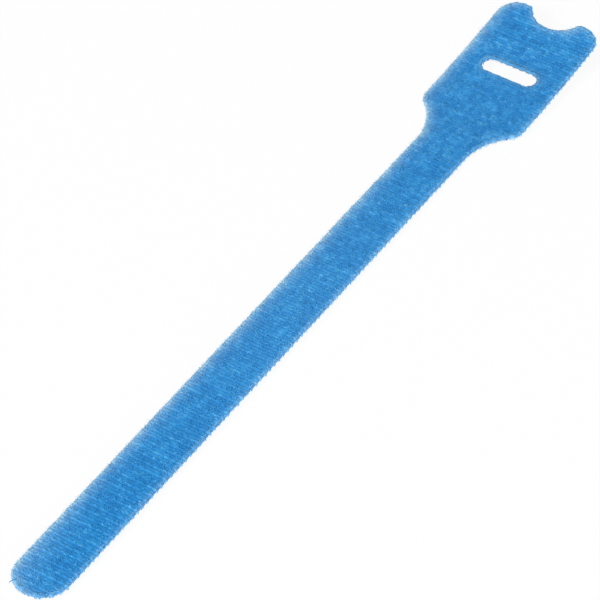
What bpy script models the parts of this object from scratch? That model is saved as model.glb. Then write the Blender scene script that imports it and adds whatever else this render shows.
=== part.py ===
"""Hook and loop cable tie, one solid, in metres with +Z up.

The real tie is die-cut from one web: a loop knit with fine ribs straight across on top, bonded for
good to a film whose underside carries rows of moulded hooks along the tie. It is built the same way.
The ribbed knit and the hook face are modelled as flat webs, joined, and cut to the outline of the
die, with its round tail, flared neck, notched head and slot. The head is then curled up a little,
as it lies when the tie comes off its roll.

While it is flat, x runs along the tie from the tip of the tail, y across it, and z up from the hook
tips. The finished solid rests on those tips at z = 0, with its bounding box centred on the z axis,
the tail at -X and the head at +X.
"""

import math

import bmesh
import bpy

# Driving dimensions of the outline, in metres, with the one angle in degrees
LENGTH = 0.200
STRAP_WIDTH = 0.0114
HEAD_WIDTH = 0.0236
NECK_TO_END = 0.0484
NECK_RADIUS = 0.0155
NECK_ANGLE = 44.7
SHOULDER_RADIUS = 0.0034
LOBE_RADIUS = 0.0045
NOTCH_RADIUS = 0.0065
NOTCH_CENTRE_PAST_END = 0.0023
NOTCH_LIP_RADIUS = 0.0006
SLOT_LENGTH = 0.0141
SLOT_WIDTH = 0.0049
SLOT_TO_END = 0.0197

# Driving dimensions of the web, in metres
KNIT_THICKNESS = 0.00075
RIB_HEIGHT = 0.00015
RIB_PITCH = 0.00084
RIB_CREST_SHARE = 0.40
FILM_THICKNESS = 0.00015
HOOK_HEIGHT = 0.00035
HOOK_ROW_PITCH = 0.0011
HOOK_ROW_WIDTH = 0.0005

# The curl of the head: where it starts, from the tip of the tail, and its radius, in metres
CURL_START = 0.1578
CURL_RADIUS = 0.332
RIBS_PER_CURL_FACET = 6

# Facets of the outline's round stretches: segments in a full turn
ROUND_SEGMENTS = 48

# How far the uncut web reaches past the outline, and how deep its two faces lie in each other
WEB_MARGIN = 0.002
BOND_DEPTH = 0.00005

# Surface of the dyed nylon, from the photograph: linear colour, roughness and metallic value
TIE_COLOUR = (0.063, 0.292, 0.624, 1.0)
TIE_ROUGHNESS = 0.85
TIE_METALLIC = 0.0

# Heights that follow from the layers
FILM_TOP = HOOK_HEIGHT + FILM_THICKNESS
RIB_VALLEY = FILM_TOP + KNIT_THICKNESS
WEB_TOP = RIB_VALLEY + RIB_HEIGHT


def arc(centre, radius, start, end):
    """Points of an arc from one angle to another, in degrees, both ends included."""
    steps = max(2, math.ceil(abs(end - start) / 360.0 * ROUND_SEGMENTS))
    turns = [math.radians(start + (end - start) * i / steps) for i in range(steps + 1)]
    return [(centre[0] + radius * math.cos(a), centre[1] + radius * math.sin(a)) for a in turns]


def neck_and_shoulder():
    """The strap's edge flares in a hollow arc and a straight run, then rounds into the head's side."""
    strap_half = STRAP_WIDTH / 2
    head_half = HEAD_WIDTH / 2
    rise = head_half - strap_half
    radii = NECK_RADIUS + SHOULDER_RADIUS
    # Both arcs turn through the same angle, which is less where the head is hardly wider
    steepest = math.degrees(math.acos(max(0.0, 1.0 - rise / radii)))
    flare = min(NECK_ANGLE, steepest)
    slope = math.radians(flare)
    straight = (rise - radii * (1.0 - math.cos(slope))) / math.sin(slope)
    neck_x = LENGTH - NECK_TO_END
    shoulder_x = neck_x + radii * math.sin(slope) + straight * math.cos(slope)
    neck = arc((neck_x, strap_half + NECK_RADIUS), NECK_RADIUS, -90.0, -90.0 + flare)
    shoulder_centre = (shoulder_x, head_half - SHOULDER_RADIUS)
    shoulder = arc(shoulder_centre, SHOULDER_RADIUS, 90.0 + flare, 90.0)
    return neck + shoulder


def lobe_and_notch():
    """The head's outer corner rounds into its end, and a small lip rounds into the notch."""
    head_half = HEAD_WIDTH / 2
    notch_x = LENGTH + NOTCH_CENTRE_PAST_END
    lip_x = LENGTH - NOTCH_LIP_RADIUS
    lip_y = math.sqrt((NOTCH_RADIUS + NOTCH_LIP_RADIUS) ** 2 - (notch_x - lip_x) ** 2)
    lobe_radius = min(LOBE_RADIUS, head_half - lip_y)
    lobe_centre = (LENGTH - lobe_radius, head_half - lobe_radius)
    lobe = arc(lobe_centre, lobe_radius, 90.0, 0.0)
    lip_turn = math.degrees(math.atan2(lip_y, notch_x - lip_x))
    lip = arc((lip_x, lip_y), NOTCH_LIP_RADIUS, 0.0, -lip_turn)
    notch = arc((notch_x, 0.0), NOTCH_RADIUS, 180.0 - lip_turn, 180.0)
    return lobe + lip + notch


def tie_outline():
    """The die's outer edge: one half from the tail to the notch, and its mirror image back."""
    strap_half = STRAP_WIDTH / 2
    tail = arc((strap_half, 0.0), strap_half, 180.0, 90.0)
    half = without_repeats(tail + neck_and_shoulder() + lobe_and_notch())
    return half + [(x, -y) for x, y in reversed(half[1:-1])]


def slot_outline():
    """The die's slot: straight sides across the tie, joined by half circles."""
    radius = SLOT_WIDTH / 2
    x = LENGTH - SLOT_TO_END
    reach = SLOT_LENGTH / 2 - radius
    return arc((x, reach), radius, 0.0, 180.0) + arc((x, -reach), radius, 180.0, 360.0)


def rib_profile():
    """Side view of the knit, in x and z: a flat base, and one flat-topped rib in each pitch."""
    flank = RIB_PITCH * (1.0 - RIB_CREST_SHARE) / 2
    first = -math.ceil(WEB_MARGIN / RIB_PITCH)
    last = math.ceil((LENGTH + WEB_MARGIN) / RIB_PITCH)
    points = []
    for rib in range(first, last):
        x = rib * RIB_PITCH
        points.append((x, RIB_VALLEY))
        points.append((x + flank, WEB_TOP))
        points.append((x + RIB_PITCH - flank, WEB_TOP))
    points.append((last * RIB_PITCH, RIB_VALLEY))
    base = FILM_TOP - BOND_DEPTH
    return [(first * RIB_PITCH, base)] + points + [(last * RIB_PITCH, base)]


def hook_profile():
    """End view of the hook face, in y and z: the film, and the rows of hooks as flat-footed rails."""
    half_rows = math.ceil((HEAD_WIDTH / 2 + WEB_MARGIN) / HOOK_ROW_PITCH)
    edge = (half_rows + 0.5) * HOOK_ROW_PITCH
    points = [(-edge, FILM_TOP), (-edge, HOOK_HEIGHT)]
    for row in range(-half_rows, half_rows + 1):
        left = row * HOOK_ROW_PITCH - HOOK_ROW_WIDTH / 2
        right = left + HOOK_ROW_WIDTH
        points += [(left, HOOK_HEIGHT), (left, 0.0), (right, 0.0), (right, HOOK_HEIGHT)]
    return points + [(edge, HOOK_HEIGHT), (edge, FILM_TOP)]


def without_repeats(points):
    """The points in order, leaving out each that falls on the one before it."""
    kept = [points[0]]
    for point in points[1:]:
        if math.dist(point, kept[-1]) > 1e-6:
            kept.append(point)
    return kept


def prism(name, outlines, depth, collection):
    """A mesh object from a filled flat curve, extruded depth / 2 to both sides of its plane."""
    curve = bpy.data.curves.new(name, "CURVE")
    curve.dimensions = "2D"
    curve.fill_mode = "BOTH"
    curve.extrude = depth / 2
    for outline in outlines:
        points = without_repeats(outline)
        if math.dist(points[0], points[-1]) < 1e-6:
            points.pop()
        spline = curve.splines.new("POLY")
        spline.points.add(len(points) - 1)
        for target, (x, y) in zip(spline.points, points):
            target.co = (x, y, 0.0, 1.0)
        spline.use_cyclic_u = True
    drawn = bpy.data.objects.new(name + "_curve", curve)
    collection.objects.link(drawn)
    graph = bpy.context.evaluated_depsgraph_get()
    mesh = bpy.data.meshes.new_from_object(drawn.evaluated_get(graph))
    bpy.data.objects.remove(drawn)
    weld(mesh)
    solid = bpy.data.objects.new(name, mesh)
    collection.objects.link(solid)
    return solid


def weld(mesh):
    """Joins the loose caps to the sides and turns every face outwards."""
    cage = bmesh.new()
    cage.from_mesh(mesh)
    bmesh.ops.remove_doubles(cage, verts=cage.verts, dist=1e-6)
    bmesh.ops.recalc_face_normals(cage, faces=cage.faces)
    cage.to_mesh(mesh)
    cage.free()


def combine(target, other, operation):
    """Adds a Boolean modifier that joins or cuts the target with another mesh object."""
    modifier = target.modifiers.new(operation.title(), "BOOLEAN")
    modifier.operation = operation
    modifier.solver = "EXACT"
    modifier.object = other


def as_cutter(solid):
    """Keeps a helper solid out of the render and draws it as wires."""
    solid.hide_render = True
    solid.display_type = "WIRE"
    return solid


def uncut_web(cutters):
    """The whole web before the die: the ribbed knit joined to the film with its hook rows."""
    knit_width = HEAD_WIDTH + 2 * WEB_MARGIN
    knit = prism("loop_knit_web", [rib_profile()], knit_width, cutters)
    knit.rotation_euler = (math.radians(90.0), 0.0, 0.0)
    hooks = prism("hook_face_web", [hook_profile()], LENGTH + 2 * WEB_MARGIN, cutters)
    hooks.location = (LENGTH / 2, 0.0, 0.0)
    hooks.rotation_euler = (math.radians(90.0), 0.0, math.radians(90.0))
    combine(knit, as_cutter(hooks), "UNION")
    return as_cutter(knit)


def split_for_curl(cage):
    """Cuts the flat tie across at every few rib valleys, so that all its faces can follow the curl."""
    first = math.ceil(CURL_START / RIB_PITCH)
    last = math.floor(LENGTH / RIB_PITCH)
    for valley in range(first, last + 1, RIBS_PER_CURL_FACET):
        everything = cage.verts[:] + cage.edges[:] + cage.faces[:]
        station = (valley * RIB_PITCH, 0.0, 0.0)
        bmesh.ops.bisect_plane(cage, geom=everything, dist=1e-7, plane_co=station, plane_no=(1.0, 0.0, 0.0))


def curl(cage):
    """Rolls what lies past the start of the curl onto an arc about a line above the tie."""
    for vertex in cage.verts:
        turn = (vertex.co.x - CURL_START) / CURL_RADIUS
        if turn > 0.0:
            arm = CURL_RADIUS - vertex.co.z
            vertex.co.x = CURL_START + arm * math.sin(turn)
            vertex.co.z = CURL_RADIUS - arm * math.cos(turn)


def centre(cage):
    """Slides the tie along x until its bounding box is centred."""
    xs = [vertex.co.x for vertex in cage.verts]
    middle = (min(xs) + max(xs)) / 2
    for vertex in cage.verts:
        vertex.co.x -= middle


def nylon():
    """Dyed nylon, matt all over."""
    material = bpy.data.materials.new("blue_nylon")
    material.use_nodes = True
    shader = material.node_tree.nodes["Principled BSDF"]
    shader.inputs["Base Color"].default_value = TIE_COLOUR
    shader.inputs["Roughness"].default_value = TIE_ROUGHNESS
    shader.inputs["Metallic"].default_value = TIE_METALLIC
    material.diffuse_color = TIE_COLOUR
    return material


def cable_tie(parts, cutters):
    """Die-cuts the web, curls the head and leaves one plain mesh object."""
    die = prism("cable_tie", [tie_outline(), slot_outline()], 2 * (WEB_TOP + WEB_MARGIN), parts)
    combine(die, uncut_web(cutters), "INTERSECT")
    graph = bpy.context.evaluated_depsgraph_get()
    mesh = bpy.data.meshes.new_from_object(die.evaluated_get(graph))
    cage = bmesh.new()
    cage.from_mesh(mesh)
    split_for_curl(cage)
    curl(cage)
    centre(cage)
    bmesh.ops.triangulate(cage, faces=cage.faces)
    cage.to_mesh(mesh)
    cage.free()
    mesh.materials.clear()
    mesh.materials.append(nylon())
    die.modifiers.clear()
    die.data = mesh


def main():
    """Clears the scene and builds the tie."""
    for left_over in list(bpy.data.objects):
        bpy.data.objects.remove(left_over)
    parts = bpy.data.collections.new("hook_and_loop_cable_tie")
    cutters = bpy.data.collections.new("cutters")
    for collection in (parts, cutters):
        bpy.context.scene.collection.children.link(collection)
    cable_tie(parts, cutters)


main()
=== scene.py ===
"""Looks of a flat hook and loop cable tie.

The tie is a loop knit laid back to back on a moulded hook film, die-cut to one
outline: a round tail, a strap, and a head with a slot and a notch. Every shape
is worked out flat, with x from the tip of the tail along the tie, y across it
and z up from the tips of the hooks, and is then carried round the curl of the
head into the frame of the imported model.
"""

from __future__ import annotations

import logging
from dataclasses import dataclass, field, replace
from enum import Enum

import bpy
import numpy as np
from mathutils import Matrix, Vector


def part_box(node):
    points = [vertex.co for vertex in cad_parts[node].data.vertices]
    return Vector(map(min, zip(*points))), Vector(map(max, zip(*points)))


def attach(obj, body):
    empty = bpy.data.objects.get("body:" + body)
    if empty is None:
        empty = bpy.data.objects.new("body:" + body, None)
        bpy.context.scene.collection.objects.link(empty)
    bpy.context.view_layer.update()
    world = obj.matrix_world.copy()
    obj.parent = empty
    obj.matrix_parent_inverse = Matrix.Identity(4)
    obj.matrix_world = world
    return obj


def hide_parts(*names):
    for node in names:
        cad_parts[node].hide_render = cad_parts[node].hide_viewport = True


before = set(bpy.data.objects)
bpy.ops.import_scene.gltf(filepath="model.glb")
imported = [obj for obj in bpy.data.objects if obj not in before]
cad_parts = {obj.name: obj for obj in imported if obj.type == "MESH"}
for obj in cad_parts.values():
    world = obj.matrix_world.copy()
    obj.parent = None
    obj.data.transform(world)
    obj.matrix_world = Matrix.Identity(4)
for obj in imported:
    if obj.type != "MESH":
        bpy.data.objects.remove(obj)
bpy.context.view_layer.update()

LOG = logging.getLogger("cable_tie")
CAD_NODE = "cable_tie"
MM = 0.001
MIRROR = np.array([1.0, -1.0])
# The far side is where the outward direction has a y below this.
FAR_TURN = -0.3
YARN_SIDES = 3
STREAK_GRAIN = (0.34 * MM, 0.80 * MM, 0.5 * MM)
MOTTLE_GRAIN = (3.0 * MM, 2.6 * MM, 2.8 * MM)

# Short types: a pair is x and y, a low and a high end, or a place along the tie with its width or run
Array = np.ndarray
Tree, Node, Socket = bpy.types.NodeTree, bpy.types.Node, bpy.types.NodeSocket
Object = bpy.types.Object
Pair = tuple[float, float]
Triple = tuple[float, float, float]
Colour = tuple[float, float, float, float]
Mesh = tuple[Array, list[Array]]


# Plane curves and noise

def arc(centre: Pair, radius: float, start: float, end: float, count: int = 40) -> Array:
    """Points on an arc: the centre plus the radius times the cosine and sine of an even sweep.

    Args:
        centre: centre of the arc.
        radius: radius of the arc.
        start: first angle in degrees.
        end: last angle in degrees.
        count: number of points.

    Returns:
        The points, one row each.
    """
    turn = np.radians(np.linspace(start, end, count))
    return np.stack([centre[0] + radius * np.cos(turn), centre[1] + radius * np.sin(turn)], axis=1)


def resampled(line: Array, step: float) -> Array:
    """Even points on a polyline: both coordinates read off at equal steps of the length along it.

    Args:
        line: points of the polyline.
        step: distance between the new points.

    Returns:
        The new points.
    """
    run = np.concatenate([[0.0], np.cumsum(np.linalg.norm(np.diff(line, axis=0), axis=1))])
    at = np.linspace(0.0, run[-1], max(2, int(round(run[-1] / step))))
    return np.stack([np.interp(at, run, line[:, 0]), np.interp(at, run, line[:, 1])], axis=1)


def bell(x: Array, place: Pair) -> Array:
    """1 at the middle of a place, falling to 1/e at its width from there, as a Gaussian."""
    middle, width = place
    return np.exp(-(((x - middle) / width) ** 2))


def ramp(x: Array, place: Pair) -> Array:
    """0 up to the start of a place and 1 past its run; a run below 0 rises towards smaller x."""
    start, run = place
    return np.clip((x - start) / run, 0.0, 1.0)


def pairs(first: int, second: int) -> list[Array]:
    """Every pair of a number below the first count and one below the second, as two lists."""
    return [part.ravel() for part in np.meshgrid(np.arange(first), np.arange(second), indexing="ij")]


def lattice_noise(points: Array, cell: Pair, seed: int) -> Array:
    """Smooth noise from 0 to 1: a blend of the random values at the four corners of a point's cell.

    The blend follows a smooth step of the point's place in its cell.

    Args:
        points: flat points, x and y first.
        cell: size of a cell along x and along y.
        seed: seed of the random values.

    Returns:
        One value for each point.
    """
    lattice = np.random.default_rng(seed).random((512, 512))
    place = points[:, :2] / np.asarray(cell)
    low = np.floor(place).astype(int)
    part = place - low
    ease = part * part * (3.0 - 2.0 * part)
    left, right = low[:, 0] % 512, (low[:, 0] + 1) % 512
    near, far = low[:, 1] % 512, (low[:, 1] + 1) % 512
    front = lattice[left, near] * (1 - ease[:, 0]) + lattice[right, near] * ease[:, 0]
    back = lattice[left, far] * (1 - ease[:, 0]) + lattice[right, far] * ease[:, 0]
    return front * (1 - ease[:, 1]) + back * ease[:, 1]


# The die and the curl

@dataclass(frozen=True)
class Places:
    """Flat points, each with its distance to the cut edge and the outward direction there."""

    flat: Array
    distance: Array
    outward: Array

    @property
    def far(self) -> Array:
        """Whether the edge there is on the far side, which faces away from the brushed one."""
        return self.outward[:, 1] <= FAR_TURN

    def inside(self, gap: float) -> Places:
        """The places that are farther from the edge than a gap."""
        keep = self.distance > gap
        return Places(self.flat[keep], self.distance[keep], self.outward[keep])


@dataclass(frozen=True)
class CutEdge:
    """The whole cut edge as close points, each with the direction that points off the material."""

    points: Array
    outward: Array

    def nearest(self, flat: Array) -> Places:
        """Looks up the closest edge point of each flat point.

        Args:
            flat: flat points, x and y first.

        Returns:
            The points with the distances and the directions.
        """
        distance = np.empty(len(flat))
        index = np.empty(len(flat), dtype=int)
        edge = self.points.astype(np.float32)
        for first in range(0, len(flat), 2048):
            part = flat[first:first + 2048, :2].astype(np.float32)
            squared = ((part[:, None, :] - edge[None, :, :]) ** 2).sum(axis=2)
            index[first:first + 2048] = squared.argmin(axis=1)
            distance[first:first + 2048] = np.sqrt(squared.min(axis=1))
        return Places(flat, distance, self.outward[index])


@dataclass(frozen=True)
class DieOutline:
    """The outline that the die cuts, with the sizes that the source of the part has."""

    length: float = 200.0 * MM
    strap_width: float = 11.4 * MM
    head_width: float = 23.6 * MM
    neck_to_end: float = 48.4 * MM
    neck_radius: float = 15.5 * MM
    neck_angle: float = 44.7
    shoulder_radius: float = 3.4 * MM
    lobe_radius: float = 4.5 * MM
    notch_radius: float = 6.5 * MM
    notch_past_end: float = 2.3 * MM
    lip_radius: float = 0.6 * MM
    slot_length: float = 14.1 * MM
    slot_width: float = 4.9 * MM
    slot_to_end: float = 19.7 * MM

    @property
    def neck_x(self) -> float:
        """Where the strap starts to widen."""
        return self.length - self.neck_to_end

    @property
    def notch_x(self) -> float:
        """Centre of the notch's round."""
        return self.length + self.notch_past_end

    @property
    def slot_x(self) -> float:
        """Middle of the slot."""
        return self.length - self.slot_to_end

    @property
    def slot_reach(self) -> float:
        """Half of the slot's straight side."""
        return (self.slot_length - self.slot_width) / 2

    def lip_y(self) -> float:
        """Height of the lip's centre: it touches the notch's round and the end of the head."""
        over = self.notch_past_end + self.lip_radius
        return float(np.sqrt((self.notch_radius + self.lip_radius) ** 2 - over ** 2))

    def side_line(self) -> Array:
        """The edge from the tail's tip to the flat end of a lobe: tail, neck, shoulder and lobe arcs.

        Returns:
            The points, with x never falling.
        """
        strap_half, head_half = self.strap_width / 2, self.head_width / 2
        rise = head_half - strap_half
        radii = self.neck_radius + self.shoulder_radius
        flare = min(np.radians(self.neck_angle), np.arccos(1 - rise / radii))
        straight = (rise - radii * (1 - np.cos(flare))) / np.sin(flare)
        shoulder_x = self.neck_x + radii * np.sin(flare) + straight * np.cos(flare)
        turn = np.degrees(flare)
        lobe = min(self.lobe_radius, head_half - self.lip_y())
        return np.concatenate([
            arc((strap_half, 0), strap_half, 180, 90, 90),
            arc((self.neck_x, strap_half + self.neck_radius), self.neck_radius, -90, -90 + turn),
            arc((shoulder_x, head_half - self.shoulder_radius), self.shoulder_radius, 90 + turn, 90),
            arc((self.length - lobe, head_half - lobe), lobe, 90, 0, 90),
        ])

    def notch_line(self) -> Array:
        """The edge from a lip at the end of the head to the deepest point of the notch.

        Returns:
            The points, with x never rising.
        """
        lip_x, lip_y = self.length - self.lip_radius, self.lip_y()
        turn = np.degrees(np.arctan2(lip_y, self.notch_x - lip_x))
        return np.concatenate([
            arc((lip_x, lip_y), self.lip_radius, 0, -turn, 30),
            arc((self.notch_x, 0), self.notch_radius, 180 - turn, 180, 60),
        ])

    def slot_line(self) -> Array:
        """The closed edge of the slot: two half circles and the straight sides between them.

        Returns:
            The points, of which the last is the first again.
        """
        half, x, reach = self.slot_width / 2, self.slot_x, self.slot_reach
        line = np.concatenate([arc((x, reach), half, 0, 180), arc((x, -reach), half, 180, 360)])
        return np.concatenate([line, line[:1]])

    def side_limit(self, x: Array) -> Array:
        """Half width of the outline at x, read off the side line."""
        line = self.side_line()
        return np.interp(x, line[:, 0], line[:, 1])

    def notch_limit(self, x: Array) -> Array:
        """Half width of the notch at x, or 0 before it."""
        line = self.notch_line()[::-1]
        return np.interp(x, line[:, 0], line[:, 1], left=0.0)

    def slot_limit(self, x: Array) -> Array:
        """Half length of the slot at x, or 0 beside it."""
        square = (self.slot_width / 2) ** 2 - (x - self.slot_x) ** 2
        return np.where(square > -1e-12, self.slot_reach + np.sqrt(np.maximum(square, 0)), 0.0)

    def holds(self, flat: Array) -> Array:
        """Whether each flat point is on the material.

        Args:
            flat: flat points.

        Returns:
            One truth value for each point.
        """
        x, y = flat[:, 0], np.abs(flat[:, 1])
        inside = (x > 0) & (x < self.length) & (y < self.side_limit(x))
        return inside & (y > self.notch_limit(x)) & (y > self.slot_limit(x))

    def cut_edge(self, step: float = 0.12 * MM) -> CutEdge:
        """The edge as close points: the outward direction is a quarter turn left of the run of the line.

        Args:
            step: distance between the points.

        Returns:
            The whole edge, both sides and the slot.
        """
        half = resampled(np.concatenate([self.side_line(), self.notch_line()]), step)
        slot = resampled(self.slot_line(), step)
        points, outward = [], []
        for line in (half, slot):
            run = np.gradient(line, axis=0)
            run /= np.maximum(np.linalg.norm(run, axis=1, keepdims=True), 1e-12)
            points.append(line)
            outward.append(np.stack([-run[:, 1], run[:, 0]], axis=1))
        return CutEdge(
            np.concatenate([points[0], points[0] * MIRROR, points[1]]),
            np.concatenate([outward[0], outward[0] * MIRROR, outward[1]]),
        )


@dataclass(frozen=True)
class Curl:
    """The lift of the head: the web past the start bends up round a level axis across the tie."""

    start: float = 157.8 * MM
    radius: float = 332.0 * MM

    def place(self, flat: Array) -> Array:
        """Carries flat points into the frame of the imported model.

        A point past the start turns by its distance past it over the radius, at an arm of the
        radius less its height. Then all points move so that the tail lies where the node has it.

        Args:
            flat: points with x, y and z.

        Returns:
            The points in the row frame.
        """
        turn = np.maximum(flat[..., 0] - self.start, 0.0) / self.radius
        arm = self.radius - flat[..., 2]
        placed = flat.copy()
        bent = turn > 0
        placed[..., 0] = np.where(bent, self.start + arm * np.sin(turn), flat[..., 0])
        placed[..., 2] = np.where(bent, self.radius - arm * np.cos(turn), flat[..., 2])
        placed[..., 0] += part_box(CAD_NODE)[0].x
        return placed


DIE = DieOutline()
CURL = Curl()
EDGE = DIE.cut_edge()


# Meshes

@dataclass
class Shell:
    """A closed piece: its points, its faces in blocks of one size, and the values its finish reads."""

    points: Array
    faces: list[Array]
    values: dict[str, Array] = field(default_factory=dict)
    smooth: bool = True

    def triangles(self) -> int:
        """Number of triangles that the faces come to."""
        return sum(len(block) * (block.shape[1] - 2) for block in self.faces)


def add_object(name: str, data: bpy.types.ID) -> Object:
    """Puts data into the scene.

    Args:
        name: name of the object.
        data: its mesh, lamp or camera data.

    Returns:
        The new object, at the origin.
    """
    made = bpy.data.objects.new(name, data)
    bpy.context.scene.collection.objects.link(made)
    return made


def add_piece(name: str, shell: Shell, finish: Finish) -> Object:
    """Puts a shell into the scene as a piece that rides on the root body.

    Args:
        name: name of the piece.
        shell: the closed mesh, still flat.
        finish: what it is dressed in.

    Returns:
        The new object, at the origin.
    """
    sizes = np.concatenate([np.full(len(block), block.shape[1]) for block in shell.faces])
    corners = np.concatenate([block.ravel() for block in shell.faces])
    mesh = bpy.data.meshes.new(name)
    mesh.vertices.add(len(shell.points))
    mesh.vertices.foreach_set("co", CURL.place(shell.points).astype(np.float32).ravel())
    mesh.loops.add(len(corners))
    mesh.loops.foreach_set("vertex_index", corners.astype(np.int32))
    mesh.polygons.add(len(sizes))
    mesh.polygons.foreach_set("loop_start", (np.cumsum(sizes) - sizes).astype(np.int32))
    mesh.polygons.foreach_set("use_smooth", np.full(len(sizes), shell.smooth))
    for key, value in shell.values.items():
        attribute = mesh.attributes.new(key, "FLOAT", "POINT")
        attribute.data.foreach_set("value", value.astype(np.float32))
    mesh.update(calc_edges=True)
    mesh.validate()
    mesh.materials.append(finish.material())
    piece = add_object(name, mesh)
    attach(piece, "root")
    LOG.info("%s: %d triangles", name, shell.triangles())
    return piece


@dataclass(frozen=True)
class DieGrid:
    """Rows across the tie and columns along it that follow the cut edge.

    A row has a left, a middle and a right group of columns. The middle group is as wide as the
    slot or the notch where the row crosses one, and its faces are left out there.
    """

    pitch: float
    side_columns: int
    middle_columns: int
    inset: float = 0.0
    middle_share: float = 0.35
    tip_gap: float = 0.012 * MM

    def ends(self) -> Triple:
        """Where the slot starts and ends, and the first row of the notch.

        Returns:
            The three places along the tie.
        """
        half = DIE.slot_width / 2
        notch_start = DIE.notch_x - DIE.notch_radius
        return DIE.slot_x - half, DIE.slot_x + half, notch_start + 4 * self.tip_gap

    def rows(self) -> Array:
        """Places of the rows: even ones, and close ones where the outline runs across the tie.

        The close rows stand off by the square of their number, so the round edge that they meet
        is cut into even steps.

        Returns:
            The x of each row, rising.
        """
        slot_start, slot_end, notch_row = self.ends()
        steps = self.tip_gap * np.arange(0, 7) ** 2
        close = np.concatenate([
            steps[1:],
            slot_start + steps,
            slot_end - steps,
            notch_row - steps[2] + steps[2:],
            DIE.length - steps,
        ])
        even = np.arange(self.pitch, DIE.length, self.pitch)
        gap = np.abs(even[:, None] - close[None, :]).min(axis=1)
        return np.unique(np.concatenate([even[gap > 0.3 * self.pitch], close]))

    def middle_half(self, x: Array) -> Array:
        """Half width of the middle group at x.

        It is a share of the width on the strap, the half width of the opening at the slot and the
        notch, and runs straight from one to the next.

        Args:
            x: places of the rows.

        Returns:
            One half width for each row.
        """
        slot_start, slot_end, notch_row = self.ends()
        share = self.middle_share * DIE.strap_width / 2
        half = np.interp(
            x,
            [DIE.neck_x, slot_start, slot_end, notch_row],
            [share, DIE.slot_reach, DIE.slot_reach, float(DIE.notch_limit(np.array(notch_row)))],
        )
        half = np.minimum(half, self.middle_share * DIE.side_limit(x) + (x > DIE.neck_x))
        half = np.where((x >= slot_start) & (x <= slot_end), DIE.slot_limit(x), half)
        return np.where(x >= notch_row, DIE.notch_limit(x), half)

    def build(self) -> tuple[Array, Array]:
        """Points in rows from side to side, and the four-sided faces between them.

        Returns:
            The flat points and the faces, seen from above as going left round.
        """
        x = self.rows()
        side, middle = DIE.side_limit(x), self.middle_half(x)
        left = np.linspace(-side, -middle, self.side_columns + 1, axis=1)
        centre = np.linspace(-middle, middle, self.middle_columns + 1, axis=1)[:, 1:-1]
        right = np.linspace(middle, side, self.side_columns + 1, axis=1)
        y = np.concatenate([left, centre, right], axis=1)
        points = np.stack([np.broadcast_to(x[:, None], y.shape), y], axis=2).reshape(-1, 2)
        index = np.arange(len(points)).reshape(y.shape)
        faces = np.stack([index[:-1, :-1], index[1:, :-1], index[1:, 1:], index[:-1, 1:]], axis=2)
        slot_start, slot_end, notch_row = self.ends()
        between = (x[:-1] + x[1:]) / 2
        opening = ((between > slot_start) & (between < slot_end)) | (between > notch_row)
        column = np.arange(y.shape[1] - 1)
        in_middle = (column >= self.side_columns) & (column < self.side_columns + self.middle_columns)
        faces = faces[~(opening[:, None] & in_middle[None, :])]
        used = np.unique(faces)
        number = np.full(len(points), -1)
        number[used] = np.arange(len(used))
        points = points[used]
        if self.inset:
            near = EDGE.nearest(points)
            points = points - near.outward * np.maximum(self.inset - near.distance, 0.0)[:, None]
        return points, number[faces]


def rim_sides(quads: Array) -> Array:
    """The face sides that only one face has.

    Args:
        quads: four-sided faces.

    Returns:
        The two point numbers of each side, in the order that its face has them.
    """
    sides = np.concatenate([quads[:, [k, (k + 1) % 4]] for k in range(4)])
    key = np.sort(sides, axis=1) @ np.array([quads.max() + 1, 1])
    number, uses = np.unique(key, return_counts=True)
    return sides[np.isin(key, number[uses == 1])]


def closed_slab(top: Array, bottom: Array, waist: Array, quads: Array) -> Mesh:
    """Closes a sheet: a top, the same faces turned over as the bottom, and a wall in two bands.

    The wall stands on the rim sides. It runs from the top over the waist, a line round the edge at
    half height, to the bottom.

    Args:
        top: upper points.
        bottom: lower points, in the same order.
        waist: points at half height, of which only those on the rim are used.
        quads: the faces of the top.

    Returns:
        All points, and the faces.
    """
    count = len(top)
    rim = rim_sides(quads)
    used = np.unique(rim)
    number = np.full(count, -1)
    number[used] = 2 * count + np.arange(len(used))
    a, b = rim[:, 0], rim[:, 1]
    upper = np.stack([b, a, number[a], number[b]], axis=1)
    lower = np.stack([number[b], number[a], a + count, b + count], axis=1)
    points = np.concatenate([top, bottom, waist[used]])
    return points, [np.concatenate([quads, quads[:, ::-1] + count, upper, lower])]


def strands(
    lines: Array, across: Array, through: Array, sides: int, side_axis: Array | None = None
) -> Mesh:
    """Closed strands: a ring of points round each point of each centre line, joined and capped.

    A ring is the line's point plus the cosine of the angle times the half width along the side
    direction, plus the sine times the half thickness along the direction square to it.

    Args:
        lines: centre lines, as strand, point and coordinate.
        across: half width at each point.
        through: half thickness at each point.
        sides: number of points in a ring.
        side_axis: fixed side direction, or else one square to the run and to the upright.

    Returns:
        All points, and the faces of the walls and the caps.
    """
    run = np.gradient(lines, axis=1)
    run /= np.maximum(np.linalg.norm(run, axis=2, keepdims=True), 1e-12)
    if side_axis is None:
        side = np.cross(run, np.array([0.0, 0.0, 1.0]))
        side /= np.maximum(np.linalg.norm(side, axis=2, keepdims=True), 1e-12)
    else:
        side = np.broadcast_to(side_axis, run.shape)
    normal = np.cross(side, run)
    turn = 2 * np.pi * (np.arange(sides) + 0.5) / sides
    ring = (
        lines[:, :, None, :]
        + (across[:, :, None] * np.cos(turn))[..., None] * side[:, :, None, :]
        + (through[:, :, None] * np.sin(turn))[..., None] * normal[:, :, None, :]
    )
    index = np.arange(ring[..., 0].size).reshape(ring.shape[:3])
    after = np.roll(index, -1, axis=2)
    walls = np.stack([index[:, :-1], index[:, 1:], after[:, 1:], after[:, :-1]], axis=3)
    caps = np.concatenate([index[:, 0], index[:, -1, ::-1]])
    return ring.reshape(-1, 3), [walls.reshape(-1, 4), caps.reshape(-1, sides)]


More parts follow.
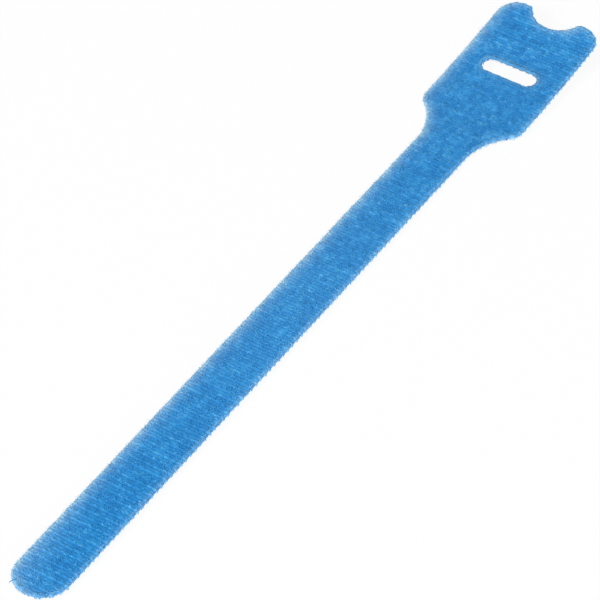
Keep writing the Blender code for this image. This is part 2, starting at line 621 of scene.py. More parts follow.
def yarn_shell(lines: Array, thick: Array, fuzz: Array, tone: Array, flatness: float = 0.8) -> Shell:
    """Three-sided strands with a fuzz and a tone for each strand, or for each point of its line.

    Args:
        lines: centre lines, as strand, point and coordinate.
        thick: half width at each point.
        fuzz: paleness.
        tone: place between shade and highlight, which is kept from 0 to 1.
        flatness: half thickness over half width.

    Returns:
        The closed shell of all strands.
    """
    points, faces = strands(lines, thick, thick * flatness, YARN_SIDES)
    values = {}
    for key, value in (("fuzz", fuzz), ("tone", np.clip(tone, 0, 1))):
        by_point = np.broadcast_to(value.reshape(len(lines), -1), thick.shape)
        values[key] = np.repeat(by_point.ravel(), YARN_SIDES)
    return Shell(points, faces, values)


# Finishes

def fill(tree: Tree, node: Node, inputs: dict[str | int, object]) -> None:
    """Links each input to the output that is given for it, or else sets its value.

    Args:
        tree: tree of the node.
        node: node to fill in.
        inputs: an output of another node or a plain value, by the input's name or number.
    """
    for socket, value in inputs.items():
        if isinstance(value, Socket):
            tree.links.new(value, node.inputs[socket])
        else:
            node.inputs[socket].default_value = value


def add_node(
    tree: Tree, kind: str, inputs: dict[str | int, object] | None = None, **settings: object
) -> Node:
    """Adds a node, with its settings before its inputs.

    Args:
        tree: tree that the node goes into.
        kind: class of the node, without its prefix.
        inputs: what fill takes.
        settings: properties of the node.

    Returns:
        The new node.
    """
    node = tree.nodes.new(f"ShaderNode{kind}")
    for key, setting in settings.items():
        setattr(node, key, setting)
    fill(tree, node, inputs or {})
    return node


def math_node(tree: Tree, operation: str, *values: object) -> Socket:
    """Adds a Math node that is kept from 0 to 1 and gives back its output."""
    return add_node(tree, "Math", dict(enumerate(values)), operation=operation, use_clamp=True).outputs[0]


def mix_colour(tree: Tree, share: object, first: object, second: object) -> Socket:
    """Adds a colour Mix node with a share of the second colour and gives back its output."""
    return add_node(tree, "Mix", {"Factor": share, 6: first, 7: second}, data_type="RGBA").outputs[2]


def noise_node(tree: Tree, grain: Triple, detail: float) -> Socket:
    """Adds noise in the object's own space and gives back its value.

    Args:
        tree: tree that the nodes go into.
        grain: size of the grain along x, y and z.
        detail: number of finer layers.

    Returns:
        The noise, from 0 to 1.
    """
    place = add_node(tree, "TexCoord").outputs["Object"]
    scaled = add_node(tree, "Mapping", {"Vector": place, "Scale": [1 / size for size in grain]})
    values = {"Vector": scaled.outputs["Vector"], "Scale": 1.0, "Detail": detail, "Roughness": 0.6}
    return add_node(tree, "TexNoise", values).outputs["Fac"]


def steeper(tree: Tree, value: Socket, low: float, high: float) -> Socket:
    """Adds a Map Range node that stretches the band from low to high to 0 to 1."""
    values = {"Value": value, "From Min": low, "From Max": high}
    return add_node(tree, "MapRange", values).outputs["Result"]


def bump_node(tree: Tree, height: Socket, strength: float, depth: float) -> Socket:
    """Adds a Bump node and gives back its normal."""
    values = {"Height": height, "Strength": strength, "Distance": depth}
    return add_node(tree, "Bump", values).outputs["Normal"]


def dyed_fibre_group() -> Tree:
    """The shared node group of dyed fibre, made once.

    A streaked grain and the piece's own tone carry the colour from the shade over the dye to the
    highlight. A mottle lightens and darkens it slowly, and the fuzz colour comes in with the fuzz.

    Returns:
        The group, which puts out a colour, a roughness and a height.
    """
    name = "dyed_fibre"
    if name in bpy.data.node_groups:
        return bpy.data.node_groups[name]
    tree = bpy.data.node_groups.new(name, "ShaderNodeTree")
    colours, numbers = ("Shade", "Dye", "Highlight", "Fuzz Colour"), ("Tone", "Fuzz")
    sockets = [(socket, "INPUT", "NodeSocketColor") for socket in colours]
    sockets += [(socket, "INPUT", "NodeSocketFloat") for socket in numbers]
    sockets += [("Colour", "OUTPUT", "NodeSocketColor")]
    sockets += [(socket, "OUTPUT", "NodeSocketFloat") for socket in ("Roughness", "Height")]
    for socket, side, kind in sockets:
        tree.interface.new_socket(socket, in_out=side, socket_type=kind)
    given = tree.nodes.new("NodeGroupInput").outputs
    grain = steeper(tree, noise_node(tree, STREAK_GRAIN, 1.0), 0.34, 0.68)
    slow = steeper(tree, noise_node(tree, MOTTLE_GRAIN, 3.0), 0.34, 0.66)
    tone = math_node(tree, "MULTIPLY_ADD", given["Tone"], 0.62, 0.09)
    tone = math_node(tree, "MULTIPLY_ADD", grain, 0.20, tone)
    colour = mix_colour(tree, steeper(tree, tone, 0.0, 0.55), given["Shade"], given["Dye"])
    colour = mix_colour(tree, steeper(tree, tone, 0.55, 1.0), colour, given["Highlight"])
    deep = mix_colour(tree, 0.36, colour, given["Shade"])
    colour = mix_colour(tree, slow, deep, colour)
    spread = math_node(tree, "MULTIPLY_ADD", grain, 0.5, 0.6)
    fuzz = math_node(tree, "MULTIPLY", given["Fuzz"], spread)
    fill(tree, tree.nodes.new("NodeGroupOutput"), {
        "Colour": mix_colour(tree, fuzz, colour, given["Fuzz Colour"]),
        "Roughness": math_node(tree, "MULTIPLY_ADD", grain, 0.15, 0.8),
        "Height": grain,
    })
    return tree


@dataclass(frozen=True)
class Finish:
    """A named finish; each kind builds its own material."""

    name: str

    def material(self) -> bpy.types.Material:
        """The material of this finish, made on first use.

        Returns:
            The material.
        """
        made = bpy.data.materials.get(self.name)
        if made is None:
            made = bpy.data.materials.new(self.name)
            made.use_nodes = True
            self.dress(made.node_tree, made.node_tree.nodes["Principled BSDF"])
        return made

    def dress(self, tree: Tree, shader: Node) -> None:
        """Adds the nodes of this kind of finish to a tree and links them to its shader."""
        raise NotImplementedError


@dataclass(frozen=True)
class DyedFibre(Finish):
    """Dyed polyamide yarn or knit, with fine streaks along the courses and paler fuzz at the cut edge."""

    shade: Colour
    dye: Colour
    highlight: Colour
    fuzz: Colour = (0.54, 0.82, 0.97, 1.0)
    relief: float = 0.2
    relief_depth: float = 0.05 * MM
    sheen: float = 0.06
    sheen_tint: Colour = (0.55, 0.75, 1.0, 1.0)

    def dress(self, tree: Tree, shader: Node) -> None:
        """Feeds the fibre group with the piece's own tone and fuzz values, and the shader with its results.

        Args:
            tree: tree of the material.
            shader: its Principled node.
        """
        tone, fuzz = (
            add_node(tree, "Attribute", attribute_name=key).outputs["Fac"] for key in ("tone", "fuzz")
        )
        values = {
            "Shade": self.shade, "Dye": self.dye, "Highlight": self.highlight,
            "Fuzz Colour": self.fuzz, "Tone": tone, "Fuzz": fuzz,
        }
        given = add_node(tree, "Group", values, node_tree=dyed_fibre_group()).outputs
        fill(tree, shader, {
            "Base Color": given["Colour"],
            "Roughness": given["Roughness"],
            "Normal": bump_node(tree, given["Height"], self.relief, self.relief_depth),
            "Specular IOR Level": 0.2,
            "Sheen Weight": self.sheen,
            "Sheen Roughness": 0.5,
            "Sheen Tint": self.sheen_tint,
        })


@dataclass(frozen=True)
class MouldedNylon(Finish):
    """Dyed nylon from the mould: a satin skin, a little clouded, with faint flow marks along the web."""

    dye: Colour
    cloud: Colour
    roughness: float
    cloud_grain: Triple = (3.5 * MM, 1.5 * MM, 2.0 * MM)
    flow_grain: Triple = (2.4 * MM, 0.12 * MM, 0.3 * MM)

    def dress(self, tree: Tree, shader: Node) -> None:
        """Clouds the colour and the roughness with slow noise, and lays fine flow marks on the skin.

        Args:
            tree: tree of the material.
            shader: its Principled node.
        """
        cloud = steeper(tree, noise_node(tree, self.cloud_grain, 3.0), 0.3, 0.7)
        marks = noise_node(tree, self.flow_grain, 2.0)
        fill(tree, shader, {
            "Base Color": mix_colour(tree, cloud, self.dye, self.cloud),
            "Roughness": math_node(tree, "MULTIPLY_ADD", cloud, 0.16, self.roughness),
            "Normal": bump_node(tree, marks, 0.25, 0.02 * MM),
        })


GROUND_KNIT = DyedFibre(
    "ground_knit", (0.004, 0.135, 0.415, 1), (0.018, 0.262, 0.635, 1), (0.075, 0.440, 0.820, 1)
)
LOOP_YARN = DyedFibre(
    "loop_yarn", (0.010, 0.230, 0.570, 1), (0.052, 0.371, 0.686, 1), (0.220, 0.600, 0.820, 1)
)
TEASED_FIBRE = DyedFibre(
    "teased_fibre", (0.018, 0.300, 0.720, 1), (0.060, 0.455, 0.870, 1), (0.220, 0.630, 0.930, 1), relief=0.0
)
CUT_FIBRE = DyedFibre(
    "cut_fibre", (0.080, 0.400, 0.760, 1), (0.250, 0.600, 0.880, 1), (0.560, 0.800, 0.950, 1), relief=0.0
)
BACKING_NYLON = MouldedNylon("backing_nylon", (0.040, 0.290, 0.620, 1), (0.060, 0.350, 0.690, 1), 0.38)
# Painted shade: the hooks are painted much darker than the film that they are moulded with, so that they
# read as dark dots under the edge.
SHADED_HOOK_NYLON = MouldedNylon("shaded_hook_nylon", (0.012, 0.100, 0.280, 1), (0.024, 0.150, 0.360, 1), 0.30)


# The knit

class Pattern(Enum):
    """Unevenness of the knit: the cell of its noise along and across the tie in mm, and the seed."""

    FUZZ = (1.10, 0.90, 20)
    PINCH = (0.84, 0.80, 21)
    EDGE = (0.50, 0.45, 23)
    TANGLE = (0.60, 0.60, 30)
    DRIFT = (5.00, 3.20, 32)
    STITCH = (0.92, 0.85, 33)
    PATCH = (2.30, 1.90, 34)
    TUFT = (1.00, 0.90, 35)
    COLUMN = (6.00, 4.00, 36)

    def at(self, flat: Array) -> Array:
        """The noise from 0 to 1 at flat points."""
        along, across, seed = self.value
        return lattice_noise(flat, (along * MM, across * MM), seed)


class Draw(Enum):
    """What is drawn at random, with its seed."""

    LOOP_PLACES = 25
    LOOP_TONES = 26
    TEASED_PLACES = 27
    TEASED_TONES = 28
    CUT_FIBRES = 29
    RIB_ENDS = 31

    def rng(self) -> np.random.Generator:
        """A new generator with this seed."""
        return np.random.default_rng(self.value)


@dataclass(frozen=True)
class ArchedYarn:
    """A kind of arched yarn: ranges of span, rise and radius in mm, depth of its ends, points and tones."""

    span: Pair
    rise: Pair
    radius: Pair
    sunk: float
    points: int
    tones: Draw


LOOP = ArchedYarn((0.50, 0.95), (0.04, 0.13), (0.10, 0.16), 0.13 * MM, 6, Draw.LOOP_TONES)
TEASED = ArchedYarn((0.6, 1.5), (0.12, 0.28), (0.025, 0.050), 0.0, 4, Draw.TEASED_TONES)


@dataclass(frozen=True)
class Wear:
    """Where use has changed the pile, and where light and shade are painted on it: bells with middle and
    width, ramps with start and run.
    """

    worn_strap: Pair = (100 * MM, 48 * MM)
    # Painted light: where the tail's +y half is painted paler.
    painted_light_tail: Pair = (0.0, 18 * MM)
    worn_tip: Pair = (0.0, 9 * MM)
    worn_head: Pair = (148 * MM, 12 * MM)
    # Painted light: across the tail, where the paler half starts.
    painted_light_half: Pair = (-1.5 * MM, 4 * MM)
    felted_neck: Pair = (167 * MM, 14 * MM)
    felted_from: Pair = (80 * MM, 35 * MM)
    felted_until: Pair = (190 * MM, -20 * MM)
    # Painted shade: where the tail is painted darker.
    painted_shade_tail: Pair = (25 * MM, 18 * MM)
    paired_tail: Pair = (55 * MM, -15 * MM)
    paired_head: Pair = (178 * MM, 8 * MM)
    teased_neck: Pair = (163 * MM, 16 * MM)

    def paleness(self, flat: Array) -> Array:
        """How pale the pile is: a little on the strap and head as wear, and painted light on the tail's +y
        half.

        Args:
            flat: flat points.

        Returns:
            One value for each point.
        """
        x = flat[:, 0]
        # Painted light: the tail's +y half is paler, as light falls across it.
        tail = 0.06 * bell(x, self.painted_light_tail) * ramp(flat[:, 1], self.painted_light_half)
        head = 0.015 * ramp(x, self.worn_head)
        return 0.038 * bell(x, self.worn_strap) + tail + head + 0.02 * bell(x, self.worn_tip)

    def felted(self, x: Array) -> Array:
        """How far the pile is rubbed out of its courses: most round the neck, some on the strap."""
        strap = 0.45 * ramp(x, self.felted_from) * ramp(x, self.felted_until)
        return np.maximum(bell(x, self.felted_neck), strap)

    def paired(self, x: Array) -> Array:
        """How clearly the ribs show in pairs: most at both ends of the tie."""
        return 0.52 + 0.48 * ramp(x, self.paired_tail) + 0.08 * ramp(x, self.paired_head)


WEAR = Wear()


@dataclass(frozen=True)
class LoopKnit:
    """The upper layer: a ribbed ground knit, its courses of loops, and the fibres teased out of it."""

    rib_pitch: float = 0.84 * MM
    underside: float = 0.50 * MM
    valley: float = 1.17 * MM
    rib_rise: float = 0.13 * MM
    lump_rise: float = 0.10 * MM
    edge_drop: float = 0.10 * MM
    edge_roll: float = 0.25 * MM
    bulge: float = 0.10 * MM
    scallop: float = 0.16 * MM
    slot_overhang: float = 0.34 * MM
    end_overhang: float = 0.16 * MM
    side_overhang: float = 0.18 * MM
    slot_zone: Pair = (4.6 * MM, 9.4 * MM)
    alternate: float = 0.26
    wander: float = 0.30 * MM
    column_pitch: float = 0.95 * MM
    stitch: float = 0.58 * MM
    pale_share: float = 0.004
    yarn_spacing: float = 0.24 * MM
    knot_pitch: float = 1.7 * MM
    knot_shift: float = 0.9 * MM
    loose_end: Pair = (1.3 * MM, 3.6 * MM)
    loose_spread: float = 1.0 * MM
    teased_count: int = 9500
    cut_count: int = 13500

    def drift(self, flat: Array) -> Array:
        """How far a course wanders along the tie: slow noise about zero."""
        return self.wander * (Pattern.DRIFT.at(flat) - 0.5)

    def rib_wave(self, flat: Array) -> Array:
        """A raised cosine, 0 in each valley and 1 on each rib, on courses that wander a little."""
        return 0.5 - 0.5 * np.cos(2 * np.pi * (flat[:, 0] + self.drift(flat)) / self.rib_pitch)

    def double_wave(self, flat: Array) -> Array:
        """A cosine over two ribs, 1 on the even ones and -1 on the odd ones between them."""
        return np.cos(np.pi * ((flat[:, 0] + self.drift(flat)) / self.rib_pitch - 0.5))

    def far_bump(self, flat: Array) -> Array:
        """The bump of the far side's edge at each even rib, from 0 between two bumps to 1."""
        return (0.5 + 0.5 * self.double_wave(flat)) ** 2

    def pair_wave(self, flat: Array) -> Array:
        """The double wave as the face shows it."""
        return WEAR.paired(flat[:, 0]) * self.double_wave(flat)

    def grain(self, flat: Array) -> Array:
        """Unevenness of the pile: noise of a stitch and of a few, faint columns, and painted shade, a darker
        dip on the tail.

        Args:
            flat: flat points.

        Returns:
            One value about zero for each point.
        """
        x = flat[:, 0]
        stitch, patch = Pattern.STITCH.at(flat) - 0.5, Pattern.PATCH.at(flat) - 0.5
        turn = np.pi * (flat[:, 1] + 0.6 * MM * Pattern.COLUMN.at(flat)) / self.column_pitch
        brick = 0.04 * np.cos(turn) + 0.05 * np.cos(2 * turn) + 0.12 * np.cos(turn) * self.pair_wave(flat)
        strength = 0.95 + 0.25 * WEAR.felted(x) + 0.35 * ramp(x, WEAR.paired_head)
        uneven = (0.62 * stitch + 0.28 * patch + brick) * strength
        # Painted shade: the value dips on the tail, which darkens the tone there.
        return uneven - 0.05 * bell(x, WEAR.painted_shade_tail)

    def by_slot(self, flat: Array) -> Array:
        """Whether a point is nearer to the slot's edge than to the side of the head."""
        along, across = self.slot_zone
        return (np.abs(flat[:, 0] - DIE.slot_x) < along) & (np.abs(flat[:, 1]) < across)

    def fuzz_at(self, places: Places) -> Array:
        """How pale the fibre is: it falls off inwards from the cut edge, on the far side in bumps.

        Args:
            places: where it is asked.

        Returns:
            One value from 0 to 1 for each place.
        """
        outward = places.outward
        # The pale band reaches farther and is paler on edges that face +y than on those that face -y.
        brushed = np.clip(0.5 + 0.5 * outward[:, 1] + 0.1 * outward[:, 0], 0.0, 1.0)
        reach = (0.42 + 0.48 * brushed) * MM
        patchy = 0.6 + 0.8 * Pattern.FUZZ.at(places.flat)
        most = np.where(self.by_slot(places.flat), 0.12, 0.15 + 0.51 * brushed)
        # On the far side the band is painted paler on the bumps and darker between them: painted light and
        # shade along the scalloped edge, over the fuzz of the cut edge.
        bumps = np.where(places.far, 0.70 + 0.80 * self.far_bump(places.flat), 1.0)
        rim = most * bumps * patchy * np.exp(-places.distance / reach)
        return np.clip(rim + WEAR.paleness(places.flat), 0.0, 1.0)

    def ground_height(self, places: Places) -> Array:
        """Height of the knit's face: a raised cosine for each rib, slow lumps, and a roll down at the edge.

        Args:
            places: where it is asked.

        Returns:
            The heights.
        """
        flat = places.flat
        rib = self.rib_wave(flat)
        pinch = 0.5 + 0.5 * Pattern.PINCH.at(flat)
        felt = WEAR.felted(flat[:, 0])
        lumps = self.lump_rise * self.grain(flat)
        tangle = self.lump_rise * felt * Pattern.TANGLE.at(flat)
        roll = self.edge_drop * bell(places.distance, (0.0, self.edge_roll))
        proud = 1 + self.alternate * self.pair_wave(flat)
        return self.valley + self.rib_rise * rib * pinch * proud * (1 - 0.5 * felt) + lumps + tangle - roll

    def overhang(self, places: Places) -> Array:
        """How far the pile hangs over the edge: most into the slot and past both ends of the tie.

        Args:
            places: where it is asked.

        Returns:
            One distance for each place.
        """
        x, outward = places.flat[:, 0], places.outward[:, 0]
        at_end = (x > DIE.slot_x) * outward - (x < DIE.strap_width) * outward
        edge = self.side_overhang + self.end_overhang * np.clip(at_end, 0.0, 1.0)
        return np.where(self.by_slot(places.flat), self.slot_overhang, edge)

    def scalloped(self, places: Places) -> Array:
        """Moves points near the edge outwards where a rib meets it, every second rib on the far side.

        Args:
            places: points to move.

        Returns:
            The moved flat points.
        """
        flat, outward = places.flat, places.outward
        ribs = np.where(places.far, 1.7 * self.far_bump(flat), self.rib_wave(flat))
        knit = Pattern.EDGE.at(flat)
        cross = np.abs(outward[:, 1])
        wave = cross * ribs * (0.7 + 0.3 * knit) + (1 - cross) * (0.3 + 0.4 * knit)
        move = self.scallop * (wave - 0.3) + self.overhang(places) * (0.6 + 0.8 * knit)
        return flat[:, :2] + outward * (move * np.exp(-places.distance / (0.4 * MM)))[:, None]

    def ground(self) -> Shell:
        """The ground knit: a ribbed face, a flat back on the film, and a bulged wall of cut yarn.

        Returns:
            The closed shell.
        """
        flat, quads = DieGrid(self.rib_pitch / 4, 13, 14).build()
        places = EDGE.nearest(flat)
        height, moved = self.ground_height(places), self.scalloped(places)
        top = np.column_stack([moved, height])
        bottom = np.column_stack([flat, np.full(len(flat), self.underside)])
        bulge = flat + places.outward * self.bulge + (moved - flat)
        waist = np.column_stack([bulge, (height + self.underside) / 2])
        points, faces = closed_slab(top, bottom, waist, quads)
        number = np.arange(len(flat))
        every = np.concatenate([number, number, np.unique(rim_sides(quads))])
        # Painted shade: the tone is darker in each rib valley and lighter on each crest. The pair wave and
        # the grain are the knit's own tone, the grain with its painted shade on the tail.
        tone = 0.46 + 0.16 * self.rib_wave(flat) + 0.15 * self.pair_wave(flat) + self.grain(flat)
        values = {"fuzz": self.fuzz_at(places)[every], "tone": np.clip(tone, 0, 1)[every]}
        return Shell(points, faces, values)

    def arches(
        self, places: Places, heading: Array, room: Array, yarn: ArchedYarn, rng: np.random.Generator
    ) -> Shell:
        """Arched yarns that leave the ground and go back into it.

        A point of the line is the centre, plus the heading times the length times s less a half,
        plus the rise and a sideways bow times four s times one less s. The yarn is thickest in
        the middle, by the sine of half a turn of s.

        Args:
            places: middles of the yarns.
            heading: direction of each yarn, as an angle from x.
            room: longest span that each yarn has room for.
            yarn: kind of yarn.
            rng: generator of the sizes.

        Returns:
            The closed shell of all yarns.
        """
        flat, count = places.flat, len(places.flat)
        length = np.minimum(rng.uniform(*yarn.span, count) * MM, room)
        base = self.ground_height(places) - yarn.sunk
        rise = rng.uniform(*yarn.rise, count) * MM
        radius = rng.uniform(*yarn.radius, count) * MM
        rng = yarn.tones.rng()
        s = np.linspace(0.0, 1.0, yarn.points)
        hump = 4 * s * (1 - s)
        way = np.stack([np.cos(heading), np.sin(heading), np.zeros(count)], axis=1)
        side = np.stack([-way[:, 1], way[:, 0], np.zeros(count)], axis=1)
        bow = rng.normal(0.0, 0.10, count) * length
        lines = np.column_stack([flat, base])[:, None, :]
        lines = lines + way[:, None, :] * (length[:, None] * (s - 0.5))[..., None]
        lines += side[:, None, :] * (bow[:, None] * hump)[..., None]
        lines[..., 2] += rise[:, None] * hump
        thick = radius[:, None] * (0.45 + 0.55 * np.sin(np.pi * s))
        fuzz = self.fuzz_at(places) + 0.35 * (rng.random(count) < self.pale_share)
        tone = rng.normal(0.5, 0.08, count) + 0.14 * self.pair_wave(flat) + self.grain(flat)
        return yarn_shell(lines, thick, fuzz, tone)

    def courses(self) -> Shell:
        """The loops: on each rib a chain of short arches, one after the other, along the rib.

        Returns:
            The closed shell of all loops.
        """
        rng = Draw.LOOP_PLACES.rng()
        reach = int(DIE.head_width / 2 / self.stitch)
        rib, stitch = pairs(int(DIE.length / self.rib_pitch) + 1, 2 * reach + 1)
        x = (rib + 0.5) * self.rib_pitch
        stray = (0.13 + 0.14 * WEAR.felted(x)) * MM
        x = x + rng.normal(0, 1, len(rib)) * stray
        y = (stitch - reach + 0.5 * (rib % 2)) * self.stitch + rng.normal(0, 0.12 * MM, len(rib))
        flat = np.column_stack([x, y])
        flat[:, 0] -= self.drift(flat)
        places = EDGE.nearest(flat[DIE.holds(flat)]).inside(0.12 * MM)
        felt = WEAR.felted(places.flat[:, 0])
        heading = np.pi / 2 + rng.normal(0, 1, len(felt)) * (0.20 + 0.45 * felt)
        outward = places.outward
        toward = np.abs(np.cos(heading) * outward[:, 0] + np.sin(heading) * outward[:, 1])
        room = 2 * (places.distance + 0.12 * MM) / np.maximum(toward, 0.15)
        return self.arches(places, heading, room, LOOP, rng)

    def rib_ends(self) -> Shell:
        """The ends of the courses: at each rib a few yarns that go over the side edge and down the wall.

        A line runs outwards by the sine and down by one less the cosine of a quarter turn of s.
        The runs on the far side are longer at every second rib, which scallops that edge, and those in
        the slot come in knots. One yarn by the tip of the tail has come loose and stands off.

        Returns:
            The closed shell of all yarns.
        """
        rng = Draw.RIB_ENDS.rng()
        run = resampled(np.concatenate([DIE.side_line(), DIE.notch_line()]), self.yarn_spacing)
        slot = resampled(DIE.slot_line(), self.yarn_spacing)
        root = np.concatenate([run, run * MIRROR, slot])
        root += rng.normal(0, 0.03 * MM, root.shape)
        count = len(root)
        places = EDGE.nearest(root)
        outward, far = places.outward, places.far
        bump = np.where(far, self.far_bump(root), self.rib_wave(root))
        at_slot = self.by_slot(root) & (np.abs(outward[:, 0]) > 0.5)
        knots = 0.5 - 0.5 * np.cos(2 * np.pi * (root[:, 1] + self.knot_shift) / self.knot_pitch)
        bump = np.where(at_slot, knots, bump)
        spread = (0.04 + (0.16 + 0.08 * far - 0.10 * at_slot) * bump) * MM
        spread += rng.normal(0, 0.02 * MM, count)
        spread += self.overhang(places)
        inside = rng.uniform(0.30, 0.60, count) * MM
        height = self.ground_height(replace(places, distance=places.distance + 0.3 * MM)) + 0.02 * MM
        low = rng.uniform(0.45, 0.75, count) - (0.08 + 0.10 * bump) * far
        low = (low + 0.35 * (1 - bump) ** 2 * at_slot) * MM
        loose = ((root - np.array(self.loose_end)) ** 2).sum(axis=1).argmin()
        spread[loose] = self.loose_spread
        s = np.linspace(0.0, 1.0, 6)
        across = (inside + spread)[:, None] * np.sin(np.pi / 2 * np.minimum(s * 1.15, 1.0)) - inside[:, None]
        lines = np.empty((count, len(s), 3))
        lines[..., :2] = root[:, None, :] + outward[:, None, :] * across[..., None]
        lines[..., 0] += rng.normal(0, 0.05 * MM, count)[:, None] * s
        lines[..., 2] = height[:, None] - (height - low)[:, None] * (1 - np.cos(np.pi / 2 * s))
        thick = rng.uniform(0.10, 0.15, count)[:, None] * MM * (0.6 + 0.4 * np.sin(np.pi * s))
        fuzz = self.fuzz_at(replace(places, distance=np.maximum(places.distance, 0.05 * MM)))
        at_tip = (outward[:, 0] < -0.5) & (root[:, 0] < DIE.strap_width)
        # Painted light: on the far side the yarn ends are painted much paler, most on the bumps and towards
        # their foot, where that wall is in shade from the main lamp; the rest is the pale fuzz of the cut
        # edge.
        fuzz = fuzz * np.where(at_tip, 0.6, np.where(far, 1.9 + 0.6 * bump, 1.0))
        # Painted shade: the yarn ends are darker where the edge dips between ribs, bumps and knots, and
        # lighter on them.
        tone = rng.normal(0.28, 0.12, count) + 0.38 * bump
        fuzz[loose], tone[loose] = 0.0, 0.0
        fuzz = fuzz[:, None] * np.where(far[:, None], 0.35 + 1.10 * s, 1.0)
        return yarn_shell(lines, thick, fuzz, tone)

    def teased(self) -> Shell:
        """The fibres brushed out of the loops: thin high arches in every direction, thickest round the neck.

        Returns:
            The closed shell of all fibres.
        """
        rng = Draw.TEASED_PLACES.rng()
        tried = 4 * self.teased_count
        x = rng.uniform(0.5 * MM, DIE.length, tried)
        flat = np.column_stack([x, rng.uniform(-1, 1, tried) * DIE.side_limit(x)])
        wanted = 0.35 + 0.65 * bell(x, WEAR.teased_neck)
        wanted *= DIE.side_limit(x) / (DIE.head_width / 2)
        wanted *= np.clip(2.4 * Pattern.TUFT.at(flat) - 0.5, 0, 1.5)
        flat = flat[rng.random(tried) < wanted]
        places = EDGE.nearest(flat[DIE.holds(flat)][:self.teased_count]).inside(0.1 * MM)
        heading = np.pi / 2 + rng.normal(0, 0.75, len(places.flat))
        return self.arches(places, heading, 2 * places.distance + 0.2 * MM, TEASED, rng)

    def cut_fibres(self) -> Shell:
        """The fibres that the die cut free: short curved hairs that stand off the edge.

        A line starts in the edge and runs outwards by s, while it bends sideways and up or down
        by the square of s.

        Returns:
            The closed shell of all fibres.
        """
        rng, count = Draw.CUT_FIBRES.rng(), self.cut_count
        at_tip = (EDGE.outward[:, 0] < -0.3) * (EDGE.points[:, 0] < DIE.strap_width)
        share = 1.0 + 1.5 * at_tip + 0.5 * (EDGE.outward[:, 1] < FAR_TURN)
        chosen = rng.choice(len(EDGE.points), count, p=share / share.sum())
        outward = EDGE.outward[chosen]
        brushed = np.clip(0.5 + 0.5 * outward[:, 1] - 0.3 * outward[:, 0], 0, 1)
        root = EDGE.points[chosen] - outward * 0.12 * MM
        turn = rng.normal(0, 0.9, count)
        way = np.column_stack([
            outward[:, 0] * np.cos(turn) - outward[:, 1] * np.sin(turn),
            outward[:, 0] * np.sin(turn) + outward[:, 1] * np.cos(turn),
            rng.normal(0.1, 0.3, count),
        ])
        side = np.column_stack([-way[:, 1], way[:, 0], rng.normal(0, 0.4, count)])
        length = rng.uniform(0.25, 0.56, count) * (1.0 + 0.40 * brushed) * MM
        s = np.linspace(0, 1, 3)
        start = np.column_stack([root, rng.uniform(0.40, 1.30, count) * MM])
        lines = start[:, None, :] + way[:, None, :] * (length[:, None] * s)[..., None]
        bend = rng.normal(0, 0.35, count)[:, None] * length[:, None] * s ** 2
        lines += side[:, None, :] * bend[..., None]
        lines[..., 2] = np.maximum(lines[..., 2], 0.1 * MM)
        thick = (rng.uniform(0.022, 0.044, count) * MM)[:, None] * (1.0 - 0.6 * s)
        return yarn_shell(lines, thick, np.full(count, 0.2), rng.normal(0.4, 0.25, count), flatness=1.0)

    def dress(self) -> list[Object]:
        """Returns:
            The pieces.
        """
        ground = add_piece("loop_knit", self.ground(), GROUND_KNIT)
        loops = add_piece("loop_courses", self.courses(), LOOP_YARN)
        ends = add_piece("course_ends", self.rib_ends(), LOOP_YARN)
        teased = add_piece("teased_fibres", self.teased(), TEASED_FIBRE)
        fringe = add_piece("cut_edge_fibres", self.cut_fibres(), CUT_FIBRE)
        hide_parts(CAD_NODE)
        return [ground, loops, ends, teased, fringe]


# The hook side

